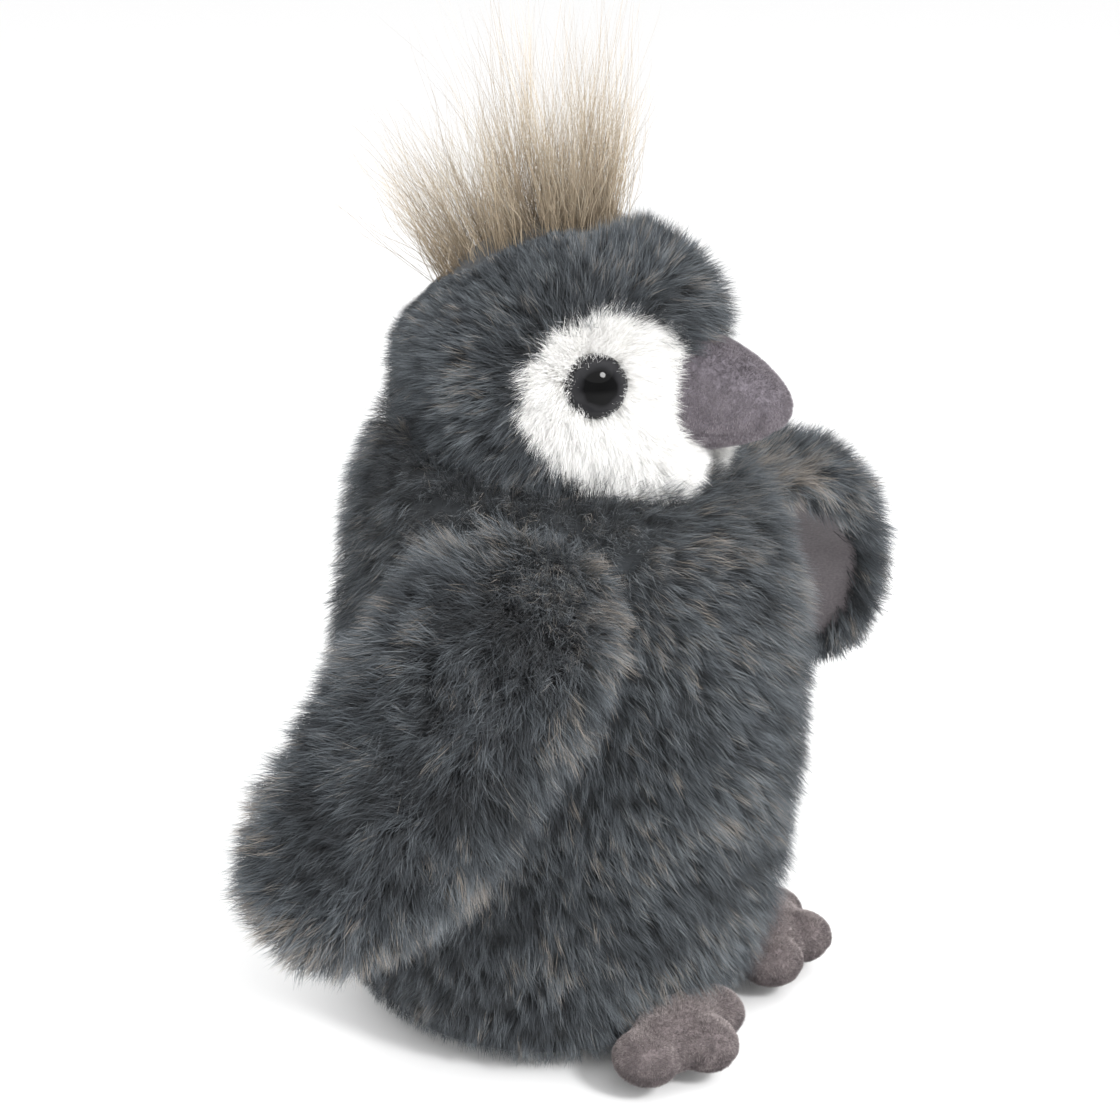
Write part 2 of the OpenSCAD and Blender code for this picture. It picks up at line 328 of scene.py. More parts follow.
# Blows the cover up from inside, then holds each point within cap millimetres of where it was
def stuff(o, voxel, cap, pressure=4.0):
    remesh(o, voxel, 1)
    before = get_points(o)
    c = o.modifiers.new("cloth", "CLOTH")
    c.settings.quality = 5
    c.settings.mass = 0.2
    c.settings.tension_stiffness = 25
    c.settings.compression_stiffness = 8
    c.settings.use_pressure = True
    c.settings.uniform_pressure_force = pressure
    c.settings.effector_weights.gravity = 0
    c.collision_settings.use_collision = False
    scene = bpy.context.scene
    for f in range(1, 21):
        scene.frame_set(f)
    apply_modifiers(o)
    scene.frame_set(1)
    move = get_points(o) - before
    size = np.linalg.norm(move, axis=1, keepdims=True)
    set_points(o, before + move * np.minimum(1, cap / np.maximum(size, 1e-9)))
    d = o.modifiers.new("subdivide", "SUBSURF")
    d.levels = 1
    apply_modifiers(o)


# Points spread evenly over the surface, with its normals, in millimetres
def scatter(o, count, rng):
    me = o.data
    me.calc_loop_triangles()
    tri = np.empty(len(me.loop_triangles) * 3, np.int32)
    me.loop_triangles.foreach_get("vertices", tri)
    tri = tri.reshape(-1, 3)
    p = get_points(o)
    n = np.empty(len(me.vertices) * 3, np.float32)
    me.vertices.foreach_get("normal", n)
    n = n.reshape(-1, 3).astype(float)
    a, b, c = p[tri[:, 0]], p[tri[:, 1]], p[tri[:, 2]]
    area = np.linalg.norm(np.cross(b - a, c - a), axis=1)
    pick = rng.choice(len(tri), count, p=area / area.sum())
    r1, r2 = np.sqrt(rng.random(count)), rng.random(count)
    w = np.stack([1 - r1, r1 * (1 - r2), r1 * r2], 1)[:, :, None]
    where = (p[tri[pick]] * w).sum(1)
    return where, unit((n[tri[pick]] * w).sum(1))


# Clumps of tapered strands. Each clump has a root c, a normal n and a direction d that it leans in. A strand rises
# from the cloth at the first angle of lift and ends at the second; clump pulls the tips together, stray turns whole
# clumps, and wave curls the strands.
def strands(name, c, n, d, material, rng, per, length, width, lift, steps, spread, clump, tone,
            wave=0.0, tip=0.15, stray=0.0):
    m = len(c)
    length = np.broadcast_to(np.asarray(length, float), (m,)) * rng.uniform(0.82, 1.12, m)
    d = unit(d - (d * n).sum(1, keepdims=True) * n)
    side = np.cross(n, d)
    swing = rng.normal(0, 1, m) * stray
    d = d * np.cos(swing)[:, None] + side * np.sin(swing)[:, None]
    side = np.cross(n, d)
    rise = rng.normal(0, 0.5, m) * stray
    idx = np.repeat(np.arange(m), per)
    s = len(idx)
    a, b = rng.normal(0, spread, s), rng.normal(0, spread, s)
    turn = rng.normal(0, 0.16, s)
    N, D, S = n[idx], d[idx], side[idx]
    way = unit(D * np.cos(turn)[:, None] + S * np.sin(turn)[:, None])
    L = length[idx] * rng.uniform(0.7, 1.1, s)
    lo = lift[0] + rise[idx] + rng.normal(0, 0.16, s)
    hi = lift[1] + rise[idx] + rng.normal(0, 0.16, s)
    roll = rng.uniform(0, math.pi, s)
    phase = rng.uniform(0, 6.28, s)
    start = c[idx]
    path = np.zeros((s, 3))
    rings = []
    for k in range(steps + 1):
        t = k / steps
        keep = 1 - clump * t ** 1.3
        p = start + (D * a[:, None] + S * b[:, None]) * keep + path
        if wave:
            p = p + S * (np.sin(phase + t * 6.5) * wave * t)[:, None]
            p = p + D * (np.cos(2 * phase + t * 9.0) * 0.6 * wave * t)[:, None]
        rings.append(p)
        ang = lo + (hi - lo) * t
        path = path + (L / steps)[:, None] * (way * np.cos(ang)[:, None] + N * np.sin(ang)[:, None])
    across = unit(np.cross(way, N)) * np.cos(roll)[:, None] + N * np.sin(roll)[:, None]
    out = []
    for k in range(steps):
        w = width * (1 - (1 - tip) * (k / steps) ** 1.6) / 2
        out += [rings[k] - across * w, rings[k] + across * w]
    out.append(rings[steps])
    per_strand = 2 * steps + 1
    verts = np.stack(out, 1).reshape(-1, 3) * MM
    verts[:, 2] = np.maximum(verts[:, 2], FLOOR_GAP)
    tris = []
    for k in range(steps - 1):
        q = 2 * k
        tris += [(q, q + 1, q + 3), (q, q + 3, q + 2)]
    tris.append((2 * steps - 2, 2 * steps - 1, 2 * steps))
    tris = np.array(tris)
    faces = (np.arange(s)[:, None, None] * per_strand + tris[None]).reshape(-1, 3)
    u = np.clip(tone[idx] + rng.normal(0, 0.09, s), 0.01, 0.99)
    row_v = np.array([k / steps for k in range(steps) for _ in (0, 1)] + [1.0])
    row_u = np.array([o for k in range(steps) for o in (-0.003, 0.003)] + [0.0])
    uv = np.stack([(u[:, None] + row_u[None]).ravel(), np.tile(row_v * 0.98 + 0.01, s)], 1)
    me = bpy.data.meshes.new(name)
    me.vertices.add(len(verts))
    me.vertices.foreach_set("co", verts.astype(np.float32).ravel())
    me.loops.add(faces.size)
    me.loops.foreach_set("vertex_index", faces.ravel().astype(np.int32))
    me.polygons.add(len(faces))
    me.polygons.foreach_set("loop_start", np.arange(0, faces.size, 3, dtype=np.int32))
    me.update(calc_edges=True)
    layer = me.uv_layers.new(name="OFBake")
    layer.data.foreach_set("uv", uv[faces.ravel()].astype(np.float32).ravel())
    me.polygons.foreach_set("use_smooth", np.ones(len(me.polygons), bool))
    me.materials.append(material)
    o = bpy.data.objects.new(name, me)
    bpy.context.scene.collection.objects.link(o)
    return o


# Strands in as many pieces as keep each one under the limit, from the top down
def pile(name, c, n, d, material, rng, per, length, tone, **more):
    length = np.broadcast_to(np.asarray(length, float), (len(c),))
    order = np.argsort(-c[:, 2], kind="stable")
    steps = 2
    count = max(1, math.ceil(len(c) * per * (2 * steps - 1) / MOST_TRIANGLES))
    made = []
    for i, part in enumerate(np.array_split(order, count)):
        made.append(strands(
            "%s_%d" % (name, i + 1), c[part], n[part], d[part], material, rng, per=per, steps=steps,
            length=length[part], tone=tone[part], **more))
    return made


# A tone for each clump, from dark to light: broad patches, a finer mottle, chance, and a few light clumps
def tones(p, seed, mean, patchy=0.17, clumps=0.17):
    r = np.random.default_rng(seed)
    t = mean + patchy * field(p, 22.0, seed) + 0.10 * field(p, 7.0, seed + 1) + r.normal(0, clumps, len(p))
    return t + 0.35 * (r.random(len(p)) < 0.05)


# ---- Body ----

# One level of the body. Towards the neck it tilts up at the back, low down it is flatter at the back, and its
# middle leans forward at the chest.
def body_ring(r, z):
    ring = []
    for sa, ca in circle(72):
        x, y = r * sa, -r * ca
        s = min(1.0, max(0.0, (z - 92) / 40))
        up = s * s * (3 - 2 * s) * y * (0.38 if y > 0 else 0.06)
        y *= 1 - 0.045 * min(1.0, max(0.0, (34 - z) / 22)) * (y > 0)
        lean = float(np.interp(z, [0, 30, 62, 92, 122, 140], [3.5, 2.0, -1.5, -5.0, -4.2, -1.0]))
        ring.append((x, y + lean, z + up))
    return ring


# Radius and height of the body's levels, under its pile
BODY_STATIONS = [
    (10, 3.0), (28, 3.0), (37, 3.2), (42, 5.0), (45.8, 9.5), (47.8, 17), (50.4, 28), (51.8, 42), (52.2, 58),
    (51.8, 72), (50.8, 86), (49.6, 98), (48.0, 109), (45.0, 119), (39.5, 128), (30, 134), (10, 137),
]


def build_body():
    rings = [body_ring(r, z) for r, z in BODY_STATIONS]
    o = loft("body_cushion", rings, BACKING)
    stuff(o, 5.0, 2.0)
    # The underside stays flat
    p = get_points(o)
    p[:, 2] = np.maximum(p[:, 2], 2.0)
    set_points(o, p)
    return o


# The body's pile lies down and back; az is the angle from the front, in degrees
def body_fur(o):
    rng = np.random.default_rng(11)
    c, n = scatter(o, int(21500 * SHARE), rng)
    keep = np.linalg.norm(c - HEAD_C, axis=1) > HEAD_R - 2
    keep &= ~((n[:, 2] < -0.75) & (c[:, 2] < 5))
    c, n = c[keep], n[keep]
    side = np.sign(c[:, 0])
    az = np.degrees(np.arctan2(np.abs(c[:, 0]), -c[:, 1]))
    d = np.tile([0.0, -0.38, -1.0], (len(c), 1))
    d[:, 0] += 0.25 * field(c, 34.0, 3)
    d[:, 1] += 0.25 * field(c, 34.0, 4)
    front = np.exp(-((az / 45.0) ** 2))
    d[:, 0] -= side * 0.25 * front
    length = np.full(len(c), 8.2) + 0.9 * field(c, 18.0, 5)
    low = np.clip((c[:, 2] - 2) / 12, 0, 1)
    length = length * (0.62 + 0.38 * low)
    length = length * (1 - 0.5 * np.clip((40 - c[:, 2]) / 24, 0, 1) * np.clip((az - 70) / 40, 0, 1))
    shade = tones(c, 21, 0.44) + 0.07 * front + 0.06 * np.clip((50 - c[:, 2]) / 40, 0, 1) * front
    shade += 0.09 * np.clip((c[:, 2] - 85) / 20, 0, 1) * front
    shade += 0.21 * np.clip((az - 110) / 50, 0, 1)
    parts = {
        "belly_panel": az < 55,
        "back_panel_left": (az >= 55) & (side > 0),
        "back_panel_right": (az >= 55) & (side <= 0),
    }
    made = {}
    for name, m in parts.items():
        made[name] = pile(
            name + "_pile", c[m], n[m], d[m], SLATE, rng, per=12, length=length[m], tone=shade[m],
            width=0.15, lift=(1.28, 0.66), spread=0.85, clump=0.62, stray=0.34)
    return made


# ---- Head ----

# Half the width of the long hair's strip, in millimetres, from the forehead (0) to the nape (1)
def tuft_half_width(place):
    return np.interp(place, [0, 0.15, 0.3, 0.57, 0.88, 1], [4.0, 7.5, 12.5, 18.0, 14.5, 12.0])


# The brow stands out, and so do two cheeks under the beak with a crease between them
def head_radius(v):
    x, y, z = v[:, 0], v[:, 1], v[:, 2]
    brow = bell(z, 0.61, 0.29) * bell(x, 0, 0.34) * (y < 0)
    low = bell(z, -0.47, 0.18) * (y < 0)
    cheeks = 7.8 * bell(np.abs(x), 0.25, 0.27) - 3.4 * bell(x, 0, 0.07)
    back = np.clip(y, 0, 1) ** 2
    return HEAD_R + 5.2 * brow + low * cheeks - 0.6 * back


def build_head():
    rings = []
    for j in range(1, 40):
        t = math.pi * j / 40
        v = np.array([(math.sin(t) * sa, -math.sin(t) * ca, math.cos(t)) for sa, ca in circle()])
        rings.append(HEAD_C + v * head_radius(v)[:, None])
    o = loft("head_cushion", rings, BACKING)
    stuff(o, 4.0, 1.2)
    o.data.materials.clear()
    for m in (BACKING, WHITE_BACKING):
        o.data.materials.append(m)
    middle = np.empty(len(o.data.polygons) * 3)
    o.data.polygons.foreach_get("center", middle)
    middle = middle.reshape(-1, 3) / MM
    white = (in_patch(middle, 1) & (middle[:, 0] > 0)) | (in_patch(middle, -1) & (middle[:, 0] <= 0))
    o.data.polygons.foreach_set("material_index", white.astype(np.int32))
    return o


# Directions at a place on the head: out of it, to its back and up
def head_frame(side, angle, lift=0.0):
    e = math.asin(lift / EYE_REACH)
    out = np.array([side * math.sin(angle) * math.cos(e), -math.cos(angle) * math.cos(e), math.sin(e)])
    back = np.array([side * math.cos(angle), math.sin(angle), 0.0])
    up = np.cross(out, back) * side
    return out, back, up if up[2] > 0 else -up


# True where a point of the head belongs to the white patch on that side
def in_patch(p, side):
    v = p - HEAD_C
    out, back, up = head_frame(side, PATCH_ANGLE)
    a, b, depth = v @ back, v @ up, v @ out
    wobble = 0.8 * field(p, 14.0, 77)
    disc = (np.hypot(a, b + 1.5) < PATCH_R + wobble) & (a * 0.75 - b * 0.66 < 16.0) & (depth > 0)
    chin = (p[:, 0] * side > 0) & (np.abs(p[:, 0]) < 19) & (p[:, 1] < -14) & (p[:, 2] < HEAD_C[2] - 3)
    return disc | chin


# The head's pile grows away from the eyes; none grows under the beak, the eyes and the long hair, or in the neck
def head_fur(o):
    rng = np.random.default_rng(12)
    c, n = scatter(o, int(16000 * SHARE), rng)
    v = c - HEAD_C
    side = np.where(c[:, 0] >= 0, 1, -1)
    beak = (np.hypot(c[:, 0], c[:, 2] - BEAK_BASE_Z) < BEAK_BASE_R) & (c[:, 1] < -15)
    eye = np.zeros(len(c), bool)
    outward = np.zeros_like(c)
    for s in SIDES.values():
        out, back, up = head_frame(s, EYE_ANGLE, EYE_LIFT)
        m = side == s
        flat = v - (v @ out)[:, None] * out
        eye |= m & (np.linalg.norm(flat, axis=1) < EYE_R - 0.5) & (v @ out > 0)
        outward[m] = unit(flat[m])
    inside = c[:, 2] < 124
    below_neck = (c[:, 2] < 133) & (c[:, 2] < 131 + 0.14 * c[:, 1])
    place = (np.degrees(np.arctan2(v[:, 1], v[:, 2])) - TUFT_START) / TUFT_RUN
    tuft = (place > 0) & (place < 1) & (v[:, 2] > 0) & (np.abs(v[:, 0]) < tuft_half_width(place) + 1.5)
    ok = ~(beak | eye | inside | below_neck | tuft)
    # The pile is short next to the long hair; gap is the distance from it, in millimetres
    beyond = np.maximum(np.maximum(-4 * place, place - 1), 0)
    gap = np.maximum(np.abs(v[:, 0]) - tuft_half_width(place), 0) + 44 * beyond
    near_tuft = np.where(v[:, 2] > 0, 0.26 + 0.74 * np.clip((gap - 2) / 12, 0, 1), 1.0)
    c, n, side, outward, near_tuft = c[ok], n[ok], side[ok], outward[ok], near_tuft[ok]
    white = np.zeros(len(c), bool)
    for s in SIDES.values():
        white |= in_patch(c, s) & (side == s)
    # No white pile in the crease between the cheeks
    white &= ~((np.abs(c[:, 0]) < 1.0) & (c[:, 2] < 141))
    flow = outward + 0.35 * np.array([0, 0.5, -0.2])
    brow = bell(c[:, 1], -31, 9) * bell(c[:, 2], 168, 9) * (np.abs(c[:, 0]) < 13)
    flow = flow * (1 - brow[:, None]) + brow[:, None] * np.array([0, -0.8, -0.25])
    flow += 0.28 * np.stack([field(c, 20, 8), field(c, 20, 9), field(c, 20, 10)], 1)
    shade = tones(c, 31, 0.35, 0.17, 0.22) + 0.12 * np.clip((c[:, 2] - 158) / 20, 0, 1)
    made = {}
    crown = np.abs(c[:, 0]) < 13
    groups = {
        "crown_panel": ~white & crown,
        "head_side_left": ~white & ~crown & (side > 0),
        "head_side_right": ~white & ~crown & (side < 0),
    }
    for name, m in groups.items():
        length = (7.2 + 2.5 * brow[m]) * near_tuft[m]
        made[name] = pile(
            name + "_pile", c[m], n[m], flow[m], SLATE, rng, per=12, length=length, tone=shade[m],
            width=0.14, lift=(1.30, 0.78), spread=0.8, clump=0.58, stray=0.36)
    # The white pile is finer and three times as dense
    for key, s in SIDES.items():
        extra = np.repeat(np.where(white & (side == s))[0], 3)
        jitter = rng.normal(0, 0.9, (len(extra), 3))
        where = c[extra] + jitter - (jitter * n[extra]).sum(1, keepdims=True) * n[extra]
        tone = np.clip(0.5 + rng.normal(0, 0.25, len(extra)), 0, 1)
        hang = outward[extra] + 0.25 * np.array([0, 0, -1.0])
        made["face_patch_" + key] = pile(
            "face_patch_" + key + "_pile", where, n[extra], hang, WHITE, rng, per=16, length=5.4, tone=tone,
            width=0.105, lift=(1.3, 0.85), spread=0.8, clump=0.25, stray=0.5)
    return made


# ---- Eyes ----

# A dome; its layout runs from the middle to the rim (U) and round it (V)
def build_eye(key, s):
    out, back, up = head_frame(s, EYE_ANGLE, EYE_LIFT)
    centre = HEAD_C + out * EYE_SEAT
    rings = []
    for q in [*range(-8, 83, 5), 86, 89]:
        r, h = EYE_R * math.cos(math.radians(q)), EYE_DOME * math.sin(math.radians(q))
        rings.append([centre + out * h + back * (r * ca) + up * (r * sa) for sa, ca in circle()])
    o = loft("eye_dome_" + key, rings, EYE)
    me = o.data
    corner = np.empty(len(me.loops), np.int32)
    me.loops.foreach_get("vertex_index", corner)
    p = get_points(o) - centre
    side = np.stack([p @ back, p @ up], 1)
    r = np.hypot(side[:, 0], side[:, 1]) / EYE_R
    mottled = np.clip(r + 0.035 * field(p, 3.0, 91), 0.005, 0.995)
    layer = me.uv_layers.new(name="OFBake")
    turn = np.arctan2(side[:, 1], side[:, 0]) / 6.4 + 0.5
    layer.data.foreach_set("uv", np.stack([mottled, turn], 1)[corner].astype(np.float32).ravel())
    return o


# ---- Beak ----

# Stations from the base to the tip: distance forward of the head's middle, top, bottom, half width
BEAK = [
    (17, 14.2, -13.4, 14.4), (22, 14.6, -13.9, 14.7), (27, 14.3, -13.9, 14.2), (32, 13.3, -13.4, 13.2),
    (37, 11.8, -12.6, 12.0), (42, 9.8, -11.4, 10.5), (46, 7.7, -10.2, 8.9), (50, 4.8, -8.6, 6.9),
    (53, 1.9, -6.6, 4.8), (54.8, -0.9, -4.5, 2.6),
]


# The beak's rings are slightly square; a crease marks the seam between its upper and lower part
def build_beak():
    square = 0.92
    rings = []
    for f, top, low, half in BEAK:
        mid, tall = (top + low) / 2, (top - low) / 2
        ring = []
        for sa, ca in circle(56):
            x = half * math.copysign(abs(ca) ** square, ca)
            z = mid + tall * math.copysign(abs(sa) ** square, sa)
            ring.append((x, HEAD_C[1] - f, HEAD_C[2] - 0.5 + z))
        rings.append(ring)
    o = loft("beak_cover_velour", rings, VELOUR)
    stuff(o, 1.6, 0.6, 3.0)
    p = get_points(o)
    seam = bell(p[:, 2], BEAK_SEAM_Z, 0.7) * (p[:, 1] < -24)
    inward = unit(np.stack([-p[:, 0], np.zeros(len(p)), BEAK_MID_Z - p[:, 2]], 1))
    set_points(o, p + inward * seam[:, None] * 0.5)
    return o


# The short nap of velour; it grows where y is below front. top paints light from above into its colour: what faces
# up is made lighter and what faces down darker, as painted light and shade
def nap(o, name, material, count, rng, length, front=math.inf, mean=0.5, top=0.0):
    c, n = scatter(o, int(count * SHARE), rng)
    m = c[:, 1] < front
    c, n = c[m], n[m]
    d = np.tile([0.0, 0.0, -1.0], (len(c), 1)) + rng.normal(0, 0.5, (len(c), 3))
    # Painted light from above: top * n[:, 2] makes strands that face up lighter and strands that face down darker
    shade = mean + 0.2 * field(c, 6.0, 44) + rng.normal(0, 0.3, len(c)) + top * n[:, 2]
    return strands(
        name, c, n, d, material, rng, per=4, length=length, tone=np.clip(shade, 0.02, 0.98), width=0.13,
        lift=(1.2, 0.8), steps=1, spread=0.35, clump=0.1, tip=0.2)


# ---- Wings ----

# From the wing's own frame, in millimetres, to the row frame
def wing_matrix(key):
    s, splay, sweep = WINGS[key]
    m = Matrix.Rotation(-SHOULDER_ANGLE, 4, "Z")
    m = m @ Matrix.Translation((SHOULDER[0], 0, SHOULDER[1]))
    m = m @ Matrix.Rotation(-splay, 4, "Y") @ Matrix.Rotation(sweep, 4, "X")
    m = np.array(m)
    if s < 0:
        m = np.diag([-1.0, 1, 1, 1]) @ m
    return m


def to_row(m, p):
    return p @ m[:3, :3].T + m[:3, 3]


# The outline's middle, the wing's length, and the height down to which pile grows all round
WING_MID_Y, WING_MID_Z, WING_LENGTH, WING_ROOT_Z = -1.0, -44.0, 95, -8

# How far each wing bows outwards and how far its front edge turns out
WING_BOW = {"left": (10.0, math.radians(26)), "right": (2.0, 0.0)}

# The wing's outline under its pile, from the top front round by the back and the tip: square shoulder, round tip
WING_OUTLINE = [
    (-18, 3.0), (-6, 5.0), (6, 4.0), (15, -3), (20, -16), (21.5, -34), (22.0, -54), (21.5, -71), (17.5, -86),
    (6, -94), (-6, -92), (-14.5, -82), (-20, -66), (-22.5, -48), (-23.5, -27), (-23, -8),
]


# A smooth closed line through the outline's points
def outline_points(count):
    p = np.array(WING_OUTLINE, float)
    m = len(p)
    out = []
    for i in range(count):
        f = i * m / count
        k, t = int(f), f - int(f)
        a, b, c, d = (p[(k + q) % m] for q in (-1, 0, 1, 2))
        square, cube = 2 * a - 5 * b + 4 * c - d, 3 * b - a - 3 * c + d
        out.append(0.5 * (2 * b + (c - a) * t + square * t ** 2 + cube * t ** 3))
    return np.array(out)


# The outline's points, moved from the middle outwards by grow
def wing_edge(grow):
    p = outline_points(AROUND) - [WING_MID_Y, WING_MID_Z]
    return p + unit(p) * grow


# At local height z: how far the wing is bowed out and how far it is turned
def bow_at(z, key):
    high, turn = WING_BOW[key]
    t = np.clip(-z / WING_LENGTH, 0, 1)
    return high * np.sin(np.pi * t ** 0.8), turn * np.clip(t * 2, 0, 1)


# The soft wing bows outwards between shoulder and tip and turns its front edge out; its top reaches in to the body
def bow(p, key):
    x, y, z = p[..., 0], p[..., 1], p[..., 2]
    out, a = bow_at(z, key)
    q = np.stack([x * np.cos(a) - y * np.sin(a), x * np.sin(a) + y * np.cos(a), z], -1)
    root = bell(np.minimum(z, 0), 0, 11)
    q[..., 0] += out - root * (4.5 + y ** 2 / 90)
    return q


# A loft in the row frame, through rings in the wing's frame
def wing_loft(name, rings, key, material):
    shape = bow(rings, key)
    return loft(name, to_row(wing_matrix(key), shape.reshape(-1, 3)).reshape(shape.shape), material)


# The pad's outer side is thicker than its inner side
def wing_rings():
    rings, edge = [], wing_edge(0.0)
    for j in range(1, 26):
        t = math.pi * j / 26
        rho, x = math.sin(t) ** 0.8, math.cos(t)
        x = x * (6.2 if x > 0 else 3.6)
        rings.append([(x, WING_MID_Y + y * rho, WING_MID_Z + z * rho) for y, z in edge])
    return np.array(rings)


def build_wing(key):
    o = wing_loft("wing_pad_" + key, wing_rings(), key, BACKING)
    stuff(o, 3.5, 1.4)
    return o


# The velour inner face, a shallow dish that follows the pad and ends inside it at the top
def build_lining(key):
    rings, edge = [], wing_edge(-1.0)
    for j in range(14):
        rho = 0.04 + 0.81 * j / 13
        x = -(4.4 * (1 - rho ** 3) ** 0.5 + 0.9)
        low = [z * rho * (0.9 if z > 0 else 1.0) for z in edge[:, 1]]
        rings.append([(x, WING_MID_Y + y * rho, WING_MID_Z + z) for y, z in zip(edge[:, 0], low)])
    flat = np.array(rings)
    flat[:, :, 0] += 4.0 * np.clip((flat[:, :, 2] + 16) / 9, 0, 1)
    back = flat.copy()
    back[:, :, 0] += 0.7
    return wing_loft("wing_lining_velour_" + key, np.concatenate([flat, back[::-1]]), key, LINING)


# Pile grows on the outer face and round the rim, and all round the top; it is lighter towards the edge
def wing_fur(key, pad):
    seed, shade_seed = {"left": (14, 61), "right": (15, 62)}[key]
    rng = np.random.default_rng(seed)
    m = wing_matrix(key)
    turn, place = m[:3, :3], m[:3, 3]
    c, n = scatter(pad, int(7800 * SHARE), rng)
    local, nl = (c - place) @ turn, n @ turn
    # The depth x and the way a point faces are taken as if the wing were flat
    out, a = bow_at(local[:, 2], key)
    x = (local[:, 0] - out) * np.cos(a) + local[:, 1] * np.sin(a)
    facing = nl[:, 0] * np.cos(a) + nl[:, 1] * np.sin(a)
    ok = (x > -2.5) | (facing > -0.45) | (local[:, 2] > WING_ROOT_Z)
    c, n, y, z = c[ok], n[ok], local[ok, 1], local[ok, 2]
    across = (y - WING_MID_Y + 3.0) / 21
    d = np.stack([np.zeros(len(c)), 0.9 * across, np.full(len(c), -0.9)], 1) @ turn.T
    d += 0.30 * np.stack([field(c, 16, 51), field(c, 16, 52), field(c, 16, 53)], 1)
    length = 10.2 + 1.2 * field(c, 14.0, 54)
    length = length * np.where(z > WING_ROOT_Z, 0.75, 1 - 0.22 * np.clip((-66 - z) / 20, 0, 1))
    edge = np.clip(np.hypot((y - WING_MID_Y) / 23, (z - WING_MID_Z) / 45) - 0.72, 0, 0.4)
    shade = tones(c, shade_seed, 0.20, 0.20, 0.26) + 1.5 * edge
    return pile(
        "wing_fur_%s_pile" % key, c, n, d, SLATE, rng, per=15, length=length, tone=shade, width=0.17,
        lift=(1.2, 0.58), spread=1.1, clump=0.66, stray=0.38)


# ---- Feet ----

# From the foot's own frame, in millimetres, to the row frame
def foot_matrix(s):
    m = Matrix.Rotation(s * ANKLE_ANGLE, 4, "Z") @ Matrix.Translation((0, -ANKLE_R, ANKLE_Z))
    return np.array(m @ Matrix.Rotation(s * (FOOT_SPLAY - ANKLE_ANGLE), 4, "Z"))


# The foot's lobes, each a centre and half sizes: palm, middle toe, the two other toes, and the webs between them
FOOT_LOBES = [
    ((0, 0.4, 0.8), (15.0, 7.8, 5.9)), ((0, -7.2, -0.6), (6.6, 7.8, 5.8)),
    ((13.2, -0.4, -0.8), (6.5, 7.6, 5.6)), ((-13.2, -0.4, -0.8), (6.5, 7.6, 5.6)),
    ((6.6, -3.0, -0.8), (4.8, 5.3, 4.8)), ((-6.6, -3.0, -0.8), (4.8, 5.3, 4.8)),
]

# The soft right foot has settled a little outwards and turned its toes out
RIGHT_SETTLE = np.array(Matrix.Translation((-2.2, 1.0, 0)) @ Matrix.Rotation(math.radians(8), 4, "Z"))


def build_foot(key, s):
    m = foot_matrix(s)
    points, faces = [], []
    levels, around = 16, 28
    for centre, size in FOOT_LOBES:
        first = len(points)
        for j in range(levels + 1):
            t = math.pi * j / levels
            for sa, ca in circle(around):
                v = np.array([math.sin(t) * ca, math.sin(t) * sa, math.cos(t)])
                points.append(np.array(centre) + v * np.array(size))
        for j in range(levels):
            for i in range(around):
                k = (i + 1) % around
                row, after = first + j * around, first + (j + 1) * around
                faces.append((row + i, row + k, after + k, after + i))
    points = np.array(points) if s > 0 else to_row(RIGHT_SETTLE, np.array(points))
    o = make_object("foot_cover_velour_" + key, to_row(m, points), faces, FOOT_VELOUR)
    remesh(o, 0.7, 3)
    stuff(o, 1.1, 0.4, 3.0)
    p = get_points(o)
    # A crease where cover and sole are sewn together
    local = (p - m[:3, 3]) @ m[:3, :3]
    seam = bell(local[:, 2], -2.9, 0.55) * (local[:, 1] < 0)
    inward = unit(local * [-1, -1, 0])
    set_points(o, p + (inward * (seam * 0.6)[:, None]) @ m[:3, :3].T)
    return o


# ---- Tuft ----

# Three bunches from front to back, and loose hair all along: share, place, spread, lean to the back and length
BUNCHES = np.array([
    [0.28, 0.12, 0.075, 0.05, 48],
    [0.32, 0.42, 0.085, 0.12, 50],
    [0.30, 0.80, 0.110, 0.42, 43],
    [0.10, 0.50, 0.250, 0.25, 42],
])


def build_tuft():
    rng = np.random.default_rng(18)
    locks = int(520 * (1))
    share, middle, wide, tilt, long = BUNCHES.T
    bunch = rng.choice(len(BUNCHES), locks, p=share)
    t = np.clip(middle[bunch] + rng.normal(0, 1, locks) * wide[bunch], 0, 1)
    angle = np.radians(TUFT_START + TUFT_RUN * t)
    x = rng.uniform(-1, 1, locks) * tuft_half_width(t)
    up = np.sqrt(np.maximum(1 - (x / TUFT_ROOT_R) ** 2, 0.1))
    v = np.stack([x / TUFT_ROOT_R, np.sin(angle) * up, np.cos(angle) * up], 1)
    c = HEAD_C + v * TUFT_ROOT_R
    lean = tilt[bunch] + 0.3 * (t - 0.5) * (bunch < 3) + rng.normal(0, 0.10, locks)
    n = unit(np.stack([0.20 * x / 10 + rng.normal(0, 0.10, locks), np.sin(lean), np.cos(lean)], 1))
    d = np.stack([rng.normal(0, 0.4, locks), rng.normal(0.1, 0.6, locks), np.zeros(locks)], 1)
    length = long[bunch] * (0.22 + 0.86 * rng.random(locks) ** 0.95)
    length = length * (1 + 0.14 * field(c, 13.0, 74)) * (1 - 0.25 * (np.abs(x) / 16.5) ** 2)
    tone = np.clip(0.47 + 0.2 * field(c, 7.0, 71) + rng.normal(0, 0.2, locks), 0, 1)
    return strands(
        "head_tuft_hair", c, n, d, HAIR, rng, per=8, length=length, tone=tone, width=0.13, lift=(1.50, 1.40),
        steps=12, spread=1.1, clump=0.2, wave=1.5, tip=0.3, stray=0.22)


# ---- Base ----

# The flat cloth panel that the toy stands on; its rings are given as radius and height
def build_base():
    rings = []
    for r, z in [(8, 1.4), (30, 1.2), (37, 1.0), (38.5, 1.7), (38, 2.6), (30, 3.4), (8, 3.4)]:
        rings.append([(r * ca, r * sa + 2.0, z) for sa, ca in circle()])
    return loft("base_panel_cloth", rings, BACKING)
